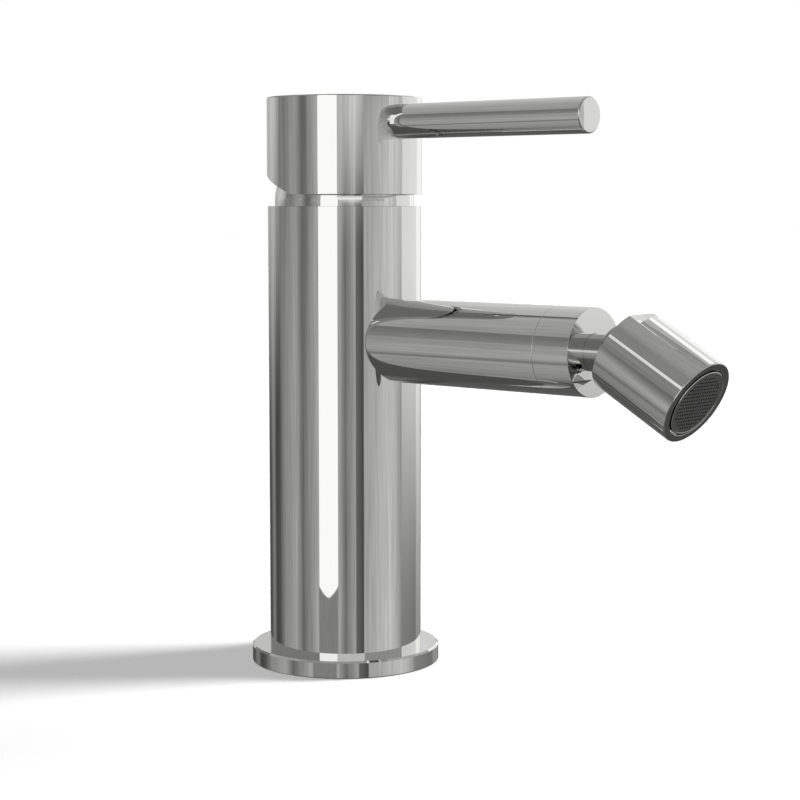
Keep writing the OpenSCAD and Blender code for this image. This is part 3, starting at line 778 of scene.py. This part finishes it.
print(len(pins.faces) // 6, "holes")
subtract(plate, [pins])


def in_hole(face):
    """True for the wall of a hole in the grille."""
    off_axis = ALONG_NOZZLE.inverted() @ (face.center / MM)
    return abs(face.normal.dot(SPRAY)) < 0.1 and off_axis.xy.length < PLATE_R - RIM


grille = piece("grille", plate, ALONG_NOZZLE, "nozzle", grey_plastic, ["aerator_grille"])
# The hole walls get the painted shade.
second_finish(grille, hole_shade, in_hole)

# %% [markdown]
# ## The dome under the cap
#
# A thin domed ring covers the cartridge's nut and closes the gap below the cap.
# It is part of a sphere about the lever's pivot, so the cap can tip over it without a gap.
# Only its outer line is drawn. It is spun round and then given an even wall, which is quicker
# than drawing the inner line too.

# %% Dome
DOME_R = end_of("dome_cover", "x")
DOME_FOOT = end_of("dome_cover", "z", LOW)
DOME_RISE = end_of("dome_cover", "z") - PIVOT_Z
DOME_WALL = 1.6


def dome():
    """A short straight skirt and the lower part of a sphere, with a wall."""
    bm = bmesh.new()
    foot = bm.verts.new((DOME_R, 0, DOME_FOOT))
    shoulder = bm.verts.new((DOME_R, 0, PIVOT_Z))
    bm.edges.new((foot, shoulder))
    bmesh.ops.spin(
        bm, geom=[shoulder], cent=(0, 0, PIVOT_Z), axis=(0, 1, 0),
        angle=-math.asin(DOME_RISE / DOME_R), steps=16)
    spin_whole(bm, STEPS)
    bmesh.ops.solidify(bm, geom=bm.faces[:], thickness=DOME_WALL)
    return bm


piece("dome", dome(), UPRIGHT, "body", chrome, ["dome_cover"], flat_first=False)

# %% [markdown]
# ## The lever's cap
#
# The cap is a short cup of the column's diameter, with a boss inside for the cartridge's spindle.
# Like the column, it is spun in one go. Five extra rings on its side keep the shading of the
# mirror even there, where the cuts split its faces unevenly.

# %% Cap
CAP_WALL_R = 19.4
CAP_LEDGE_Z = 143.0
CAP_HOLLOW_R = 18.6
CAP_HOLLOW_TOP = 151.5
BOSS_R = 8.5
BOSS_FOOT = 137.5
SHADING_RINGS = (155.05, 153.6, 143.5, 138.7, 136.8)
cap = lathe([
    (0, CAP_TOP), (CAP_R, CAP_TOP, 0.35, 3), *((CAP_R, height) for height in SHADING_RINGS),
    (CAP_R, CAP_FOOT, 0.06, 2), (CAP_WALL_R, CAP_FOOT, 0.15), (CAP_WALL_R, CAP_LEDGE_Z),
    (CAP_HOLLOW_R, CAP_LEDGE_Z), (CAP_HOLLOW_R, CAP_HOLLOW_TOP, 0.5), (BOSS_R, CAP_HOLLOW_TOP),
    (BOSS_R, BOSS_FOOT, 0.2), (0, BOSS_FOOT),
], closed=False)
print("cap", len(cap.faces), "faces before cutting")

# %% [markdown]
# ### Its cuts
#
# The cap's lower edge is cut away at the back at the angle that the lever lifts to,
# so that it lies level above the column when the lever is up.
# A screw behind the cap clamps it to the cartridge's square spindle, in the boss,
# and the lever stands in a shallow seat in front.

# %% Cap's cuts
CAP_CUT = 20
CUT_TOOL = 60
SQUARE = 8.1
SQUARE_Z = (137, 146.2)
SCREW_HOLE_R = 2.5
SCREW_HOLE_X = 9
PLUG_HOLE_R = 3.05
PLUG_HOLE_X = 10
SEAT_DEPTH = 0.3
SEAT_GAP = 0.1
OUTSIDE = 24
away = sideways(CAP_FOOT, CAP_CUT) @ Matrix.Translation((-CUT_TOOL / 2, 0, -CUT_TOOL / 2))
subtract(cap, [
    block((CUT_TOOL, CUT_TOOL, CUT_TOOL), away),
    block((SQUARE, SQUARE, SQUARE_Z[1] - SQUARE_Z[0]), Matrix.Translation((0, 0, sum(SQUARE_Z) / 2))),
    drill(SCREW_HOLE_R, 0, SCREW_HOLE_X, TO_BACK),
    drill(PLUG_HOLE_R, PLUG_HOLE_X, OUTSIDE, TO_BACK),
    drill(LEVER_R + SEAT_GAP, CAP_R - SEAT_DEPTH, OUTSIDE, ALONG_LEVER, steps=120),
])
piece("cap", cap, UPRIGHT, "lever", chrome, ["lever_cap"])

# %% [markdown]
# ## The lever
#
# The lever is a plain polished rod, screwed into the cap with a thinner end.
# Its outer end is flat with a small rounded edge. A stretched cylinder with a bevel would
# do too, but as a section it also gets its thinner end.

# %% Lever rod
LEVER_FOOT = end_of("lever_rod", "x", LOW)
SCREWED_R = 3.0
SHOULDER_X = 20.7
CHAMFER = 0.3
piece("lever", lathe([
    (0, LEVER_FOOT), (SCREWED_R - CHAMFER, LEVER_FOOT), (SCREWED_R, LEVER_FOOT + CHAMFER),
    (SCREWED_R, SHOULDER_X), (LEVER_R, SHOULDER_X), (LEVER_R, LEVER_END, 0.4, 5), (0, LEVER_END),
], closed=False, steps=120), ALONG_LEVER, "lever", chrome, ["lever_rod"])

# %% [markdown]
# ### The plug behind the screw
#
# A small chromed plug closes the screw's hole at the back of the cap.
# Its flat face ends level with the cap's round, a hair inside its widest line.

# %% Plug behind the screw
PLUG_R = 3.0
PLUG_X = (-end_of("screw_plug", "x"), CAP_R - 0.05)
plug = lathe(
    [(0, PLUG_X[0]), (PLUG_R, PLUG_X[0], 0.1), (PLUG_R, PLUG_X[1], 0.2), (0, PLUG_X[1])],
    closed=False, steps=72)
piece("plug", plug, TO_BACK, "lever", chrome, ["screw_plug"])

# %% [markdown]
# ## The studio
#
# Chrome has no colour of its own: it shows what stands around it.
# The mixer stands on a white floor before white paper, and around it stand grey walls and
# a tall soft box, which only the reflections see.
# The paper behind it is the world itself: bright where the camera or a mirror looks at it,
# and dimmer as a light, so that it doesn't wash out the shadow.

# %% World
WORLD_AS_LIGHT = 0.22


def maths(tree, operation, one, other):
    """One step of arithmetic on two values, each a number or an output."""
    step = tree.nodes.new("ShaderNodeMath")
    step.operation = operation
    for socket, value in zip(step.inputs, (one, other)):
        if isinstance(value, (int, float)):
            socket.default_value = value
        else:
            tree.links.new(value, socket)
    return step.outputs[0]


world = bpy.data.worlds.new("studio")
scene.world = world
world.use_nodes = True
tree = world.node_tree
tree.nodes.clear()
paths = tree.nodes.new("ShaderNodeLightPath")
looked_at = maths(tree, "MAXIMUM", paths.outputs["Is Camera Ray"], paths.outputs["Is Glossy Ray"])
looked_at = maths(tree, "MAXIMUM", looked_at, paths.outputs["Is Transmission Ray"])
level = tree.nodes.new("ShaderNodeMapRange")
level.inputs["To Min"].default_value = WORLD_AS_LIGHT
level.inputs["To Max"].default_value = 1.0
light = tree.nodes.new("ShaderNodeBackground")
light.inputs["Color"].default_value = (1, 1, 1, 1)
out = tree.nodes.new("ShaderNodeOutputWorld")
tree.links.new(looked_at, level.inputs["Value"])
tree.links.new(level.outputs["Result"], light.inputs["Strength"])
tree.links.new(light.outputs[0], out.inputs[0])
print("world", len(tree.nodes), "nodes")

# %% [markdown]
# ### The floor
#
# The floor is a wide disc of matt white paper, a tenth of a millimetre below the flange.
# It also glows a little for the camera, which lifts it to the white of the paper behind
# without lighting the mixer from below.

# %% Floor
FLOOR_R = 6
FLOOR_GAP = 0.1 * MM
FLOOR_GLOW = 0.29


def stage(name, bm, material):
    """A thing of the studio, which isn't part of the mixer. Made in metres."""
    mesh = bpy.data.meshes.new(name)
    for face in bm.faces:
        face.smooth = True
    bm.to_mesh(mesh)
    bm.free()
    made = bpy.data.objects.new(name, mesh)
    scene.collection.objects.link(made)
    mesh.materials.append(material)
    made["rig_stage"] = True
    return made


paper = bpy.data.materials.new("white_floor")
paper.use_nodes = True
tree = paper.node_tree
tree.nodes.clear()
paths = tree.nodes.new("ShaderNodeLightPath")
glow = tree.nodes.new("ShaderNodeEmission")
lift = maths(tree, "MULTIPLY", paths.outputs["Is Camera Ray"], FLOOR_GLOW)
matt = tree.nodes.new("ShaderNodeBsdfDiffuse")
matt.inputs["Color"].default_value = (0.86, 0.86, 0.86, 1)
both = tree.nodes.new("ShaderNodeAddShader")
out = tree.nodes.new("ShaderNodeOutputMaterial")
tree.links.new(lift, glow.inputs["Strength"])
tree.links.new(matt.outputs[0], both.inputs[0])
tree.links.new(glow.outputs[0], both.inputs[1])
tree.links.new(both.outputs[0], out.inputs[0])
disc = bmesh.new()
bmesh.ops.create_circle(disc, cap_ends=True, segments=96, radius=FLOOR_R)
bmesh.ops.translate(disc, vec=(0, 0, -FLOOR_GAP), verts=disc.verts)
floor = stage("floor", disc, paper)
floor.visible_glossy = False
print("floor", floor.dimensions[:2])

# %% [markdown]
# ### Glowing paper
#
# The walls are lit paper, so their finish glows instead of being lit by lamps, which keeps
# the levels exact. Faint clouds stand for the unevenness of a real studio.
# Levels are those of light, so a wall of 0.3 looks mid grey, and they are given as they look
# in the chrome, which keeps a part of the light.

# %% Glowing paper
SHARE_OF_CHROME = 0.82


def seen_in_metal(made):
    """Keeps a wall for the reflections only, so that the paper behind the mixer stays white."""
    made.visible_camera = False
    made.visible_diffuse = False
    made.visible_shadow = False
    made.visible_transmission = False
    return made


def glow_paper(name, mottled):
    """A glowing finish with faint large clouds. Gives its tree, a socket for the level of light
    and one for the cover, which is 1 where the paper hides what is behind it."""
    material = bpy.data.materials.new(name)
    material.use_nodes = True
    tree = material.node_tree
    tree.nodes.clear()
    glow = tree.nodes.new("ShaderNodeEmission")
    out = tree.nodes.new("ShaderNodeOutputMaterial")
    clouds = grain(material, 0.5, 1 - 1.5 * mottled, 1 + 1.5 * mottled, detail=6.0)
    scaled = tree.nodes.new("ShaderNodeMath")
    scaled.operation = "MULTIPLY"
    tree.links.new(clouds, scaled.inputs[1])
    clear = tree.nodes.new("ShaderNodeBsdfTransparent")
    cover = tree.nodes.new("ShaderNodeMixShader")
    cover.inputs[0].default_value = 1.0
    tree.links.new(scaled.outputs[0], glow.inputs["Strength"])
    tree.links.new(clear.outputs[0], cover.inputs[1])
    tree.links.new(glow.outputs[0], cover.inputs[2])
    tree.links.new(cover.outputs[0], out.inputs[0])
    return material, tree, scaled.inputs[0], cover.inputs[0]


def ramp(tree, value, start, end, low=0.0, high=1.0):
    """Goes softly from low to high, numbers or outputs, while value goes from start to end."""
    spread = tree.nodes.new("ShaderNodeMapRange")
    spread.interpolation_type = "SMOOTHSTEP"
    spread.inputs["From Min"].default_value = start
    spread.inputs["From Max"].default_value = end
    for socket, level in (("To Min", low), ("To Max", high)):
        if isinstance(level, float):
            spread.inputs[socket].default_value = level
        else:
            tree.links.new(level, spread.inputs[socket])
    tree.links.new(value, spread.inputs["Value"])
    return spread.outputs["Result"]


def lit(level):
    """The level of light of a wall that looks like level in the chrome."""
    return level / SHARE_OF_CHROME


# %% [markdown]
# ### Walls
#
# Each wall is an upright strip of a circle around the mixer, between two azimuths and two
# elevations as seen from the mixer, because that is where its image sits in a round column.
# Its level of light goes softly from one side to the other and from its foot to its head.
# A low foot fades out, and small patches have soft edges all round, so that neither draws
# a hard line in the mirror; they let the tent behind them through.

# %% Walls
WALL_R = 8.0
BOX_R = 7.8
WALL_Z = 0.06
LOW_FOOT = -14
LOW_FOOT_FADE = 12


def height_at(radius, elevation):
    """Height at which a wall of that radius is seen from the mixer at that elevation in degrees."""
    return WALL_Z + radius * math.tan(math.radians(elevation))


def strip(radius, sides, foot_z, head_z, foot_lift):
    """An upright piece of a circle between two azimuths, its foot lifted towards both of them."""
    bm = bmesh.new()
    first, last = (math.radians(side) for side in sides)
    start = Vector((math.sin(first), -math.cos(first), 0)) * radius
    foot = bm.verts.new((start.x, start.y, foot_z))
    head = bm.verts.new((start.x, start.y, head_z))
    post = bm.edges.new((foot, head))
    bmesh.ops.spin(
        bm, geom=[foot, head, post], cent=(0, 0, 0), axis=(0, 0, 1),
        angle=last - first, steps=max(2, round(sides[1] - sides[0])))
    middle = (first + last) / 2
    for point in bm.verts:
        if point.co.z < (foot_z + head_z) / 2:
            off = abs(math.atan2(point.co.x, -point.co.y) - middle) / (last - middle)
            point.co.z += foot_lift * off ** 1.6
    return bm


def wall(
        name, sides, heights, low, high=None, radius=WALL_R, foot_lift=0.0, mottled=0.22,
        rise=(-8, 4), fade=None, soft=0):
    """A glowing strip between two azimuths and two elevations in degrees.
    low and high are the levels at its lower and upper corners, from its first side to its second,
    and rise says between which elevations one turns into the other.
    Its foot fades out over fade degrees, and with soft, all its edges do over soft degrees."""
    if fade is None:
        fade = LOW_FOOT_FADE if heights[0] < LOW_FOOT else 0
    first, last = (math.radians(side) for side in sides)
    foot_z = height_at(radius, heights[0] - fade)
    head_z = height_at(radius, heights[1])
    material, tree, level, cover = glow_paper(name, mottled)
    place = tree.nodes.new("ShaderNodeTexCoord")
    apart = tree.nodes.new("ShaderNodeSeparateXYZ")
    tree.links.new(place.outputs["Object"], apart.inputs[0])
    up = apart.outputs["Z"]
    turn = maths(tree, "ARCTAN2", apart.outputs["X"], maths(tree, "MULTIPLY", apart.outputs["Y"], -1))
    levels = ramp(tree, turn, first, last, *map(lit, low))
    if high:
        upper = ramp(tree, turn, first, last, *map(lit, high))
        start, end = (radius * math.radians(elevation) for elevation in rise)
        levels = ramp(tree, up, start, end, levels, upper)
    tree.links.new(levels, level)
    if fade or soft:
        shown = ramp(tree, up, foot_z, height_at(radius, heights[0] + soft))
        if soft:
            width = math.radians(soft)
            for value, start, end in (
                    (up, head_z, height_at(radius, heights[1] - soft)),
                    (turn, first, first + width), (turn, last, last - width)):
                shown = maths(tree, "MULTIPLY", shown, ramp(tree, value, start, end))
        tree.links.new(shown, cover)
    return seen_in_metal(stage(name, strip(radius, sides, foot_z, head_z, foot_lift), material))


# %% [markdown]
# ### The tent
#
# A large round tent closes the studio behind and above the walls, so no mirror looks out
# into plain white. Its levels change with the elevation only, from dark below to pale at the top.

# %% Tent
TENT_R = 60.0
TENT_LEVELS = (
    (-90, 0.10), (-50, 0.08), (-25, 0.09), (-15, 0.20), (12, 0.20), (30, 0.15), (50, 0.15), (90, 0.29),
)


def tent(name, levels):
    """A round tent over everything, with levels of light by elevation from the lowest up."""
    bm = bmesh.new()
    bmesh.ops.create_uvsphere(bm, u_segments=64, v_segments=32, radius=TENT_R)
    bmesh.ops.reverse_faces(bm, faces=bm.faces)
    material, tree, level, _ = glow_paper(name, 0.25)
    place = tree.nodes.new("ShaderNodeTexCoord")
    apart = tree.nodes.new("ShaderNodeSeparateXYZ")
    share = tree.nodes.new("ShaderNodeMapRange")
    share.inputs["From Min"].default_value = -TENT_R
    share.inputs["From Max"].default_value = TENT_R
    shades = tree.nodes.new("ShaderNodeValToRGB")
    shades.color_ramp.interpolation = "EASE"
    stops = shades.color_ramp.elements
    while len(stops) < len(levels):
        stops.new(0.5)
    for stop, (elevation, value) in zip(stops, levels):
        stop.position = 0.5 + 0.5 * math.sin(math.radians(elevation))
        stop.color = (lit(value), lit(value), lit(value), 1)
    tree.links.new(place.outputs["Object"], apart.inputs[0])
    tree.links.new(apart.outputs["Z"], share.inputs["Value"])
    tree.links.new(share.outputs["Result"], shades.inputs["Fac"])
    tree.links.new(shades.outputs["Color"], level)
    return seen_in_metal(stage(name, bm, material))


tent("tent", TENT_LEVELS)
print("tent with", len(TENT_LEVELS), "levels")

# %% [markdown]
# ### The walls on the left
#
# The walls follow round the mixer from behind its left to behind its right.
# Those on the left are seen in the left half of the column and of the cap.

# %% Walls on the left


def count_walls():
    """How many things stand in the studio for the reflections only."""
    return sum(1 for made in scene.objects if made.get("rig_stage") and not made.visible_camera)


wall("back_left_wall", (-180, -155), (-18, 24), (0.26, 0.26), (0.87, 0.87), rise=(-14, 1))
wall("left_corner", (-155, -124), (-16, 32), (0.10, 0.12), (0.58, 0.50))
wall("left_wall_a", (-124, -108), (-20, 12), (0.07, 0.06), (0.44, 0.42))
wall("left_wall_b", (-108, -96), (-20, 12), (0.09, 0.18), (0.42, 0.50))
wall("left_wall_c", (-96, -84), (-20, 12), (0.19, 0.06), (0.50, 0.48), rise=(-7, 4))
wall("left_wall_d", (-84, -72), (-20, 12), (0.05, 0.08), (0.48, 0.33), rise=(-6, 6))
wall("left_wall_e", (-72, -60), (-20, 12), (0.12, 0.22), (0.20, 0.18))
wall("left_wall_f", (-60, -36), (-15, 12), (0.24, 0.33), (0.18, 0.28))
wall("front_left_a", (-36, -22), (-16, 12), (0.30, 0.12), (0.28, 0.13))
wall("front_left_b", (-22, -4), (-20, 12), (0.17, 0.28), (0.11, 0.30))
wall("front_wall", (-4, 2.5), (-20, 12), (0.32, 0.36))
print("walls and tent:", count_walls())

# %% [markdown]
# ### The walls on the right
#
# On the right a dark board stands between paler walls and gives the chrome its depth:
# polished metal reads as metal only where dark and bright lie side by side.

# %% Walls on the right
wall("front_right_a", (32, 45), (-20, 12), (0.34, 0.14), (0.47, 0.45), rise=(-1, 4.5))
wall("front_right_b", (45, 59), (-20, 12), (0.19, 0.31), (0.47, 0.60), rise=(-1, 4.5))
wall("dark_board", (59, 71), (-20, 12), (0.12, 0.065), (0.56, 0.40), mottled=0.1, rise=(-1, 5))
wall("right_wall_a", (71, 112), (-20, 6.5), (0.34, 0.47), (0.30, 0.38), rise=(3.2, 4.6))
wall("right_wall_b", (112, 128), (-20, 6.5), (0.50, 0.40), (0.56, 0.52))
wall("right_wall_c", (128, 138), (-20, 6.5), (0.38, 0.24), (0.48, 0.46))
wall("back_right_wall", (138, 180), (-16, 22), (0.20, 0.16), (0.66, 0.70), mottled=0.04, rise=(-13, 0))
print("walls and tent:", count_walls())

# %% [markdown]
# ### The walls above and below
#
# The spout and the lever lie flat, so they mirror what is above and below the ring of walls.
# Large plain boards there give each of them a light upper and a darker lower side.

# %% Walls above and below
wall("upper_left", (-150, -62), (33, 62), (0.48, 0.32))
wall("upper_front_left", (-62, -36), (31, 62), (0.32, 0.24))
wall("upper_front", (-36, 0), (19, 60), (0.23, 0.21))
wall("upper_back_left", (-180, -165), (24, 38), (0.66, 0.66), mottled=0.05)
wall("upper_back_bright", (-180, -165), (38, 51), (0.93, 0.93), mottled=0.03)
wall("upper_back_top", (-180, -150), (51, 72), (0.42, 0.36))
wall("upper_back_low_left", (-165, -130), (24, 45), (0.66, 0.50))
wall("upper_back_right", (100, 180), (14, 60), (0.27, 0.38))
wall("pale_floor_left", (-86, -32), (-56, -22), (0.19, 0.30), fade=0, soft=6)
wall("low_back", (148, 180), (-44, -18), (0.055, 0.055), mottled=0.05, fade=0, soft=6)
wall("low_right", (72, 128), (-46, -16), (0.17, 0.13), fade=0, soft=8)
wall("low_back_left", (-180, -150), (-62, -24), (0.13, 0.11), fade=0, soft=8)
print("walls and tent:", count_walls())

# %% [markdown]
# ### The soft box and the light strips
#
# The soft box in front makes the white band down the column.
# Its foot curves up towards both sides, because the band ends in a round foot above the flange.
# The strips are narrower lights at other heights, for the round parts that lie or are tilted.
# Where they overlap the walls, they stand a little before them.

# %% Soft box and light strips
wall("soft_box", (3, 32), (-11.7, 31), (0.95, 0.95), radius=BOX_R, foot_lift=0.05, mottled=0.01)
wall("soft_box_top", (3, 15), (31, 40), (0.95, 0.95), radius=BOX_R, mottled=0.01)
wall(
    "low_strip", (29, 73), (4.3, 16), (0.80, 0.80), (0.54, 0.54),
    radius=BOX_R, mottled=0.05, rise=(8.5, 11), soft=2.5)
wall(
    "low_strip_right", (71, 138), (6.4, 15), (0.34, 0.50), (0.27, 0.29),
    mottled=0.1, rise=(7.2, 8.6))
wall("high_strip_left", (-16, -8), (33, 39), (0.66, 0.72), radius=BOX_R, mottled=0.05)
wall("high_strip", (57, 80), (37, 41.5), (0.70, 0.60), radius=BOX_R)
print("walls and tent:", count_walls())

# %% [markdown]
# ## The lamp
#
# A tall soft lamp stands low on the right and throws the long shadow to the left.
# Three suns one above the other stand for its lower, middle and upper part, the lowest the
# brightest, so that the shadow starts dark at the flange and ends softly.
# Each is given by the direction it shines along, and none is seen in the chrome.

# %% Lamp
LAMP_SIDE = math.radians(52.3)
LAMP_SIZE = math.radians(21)
HEIGHT_AND_ENERGY = ((10, 4.1), (17, 2.4), (25, 1.6))
for height, energy in HEIGHT_AND_ENERGY:
    name = "key_%d" % height
    rise = math.radians(height)
    lamp = bpy.data.objects.new(name, bpy.data.lights.new(name, "SUN"))
    lamp.data.energy = energy
    lamp.data.angle = LAMP_SIZE
    from_lamp = Vector((
        -math.cos(LAMP_SIDE) * math.cos(rise), -math.sin(LAMP_SIDE) * math.cos(rise), -math.sin(rise)))
    lamp.rotation_euler = from_lamp.to_track_quat("-Z", "Y").to_euler()
    lamp.visible_glossy = False
    scene.collection.objects.link(lamp)
    print(lamp.name, "shines along", [round(c, 2) for c in from_lamp])
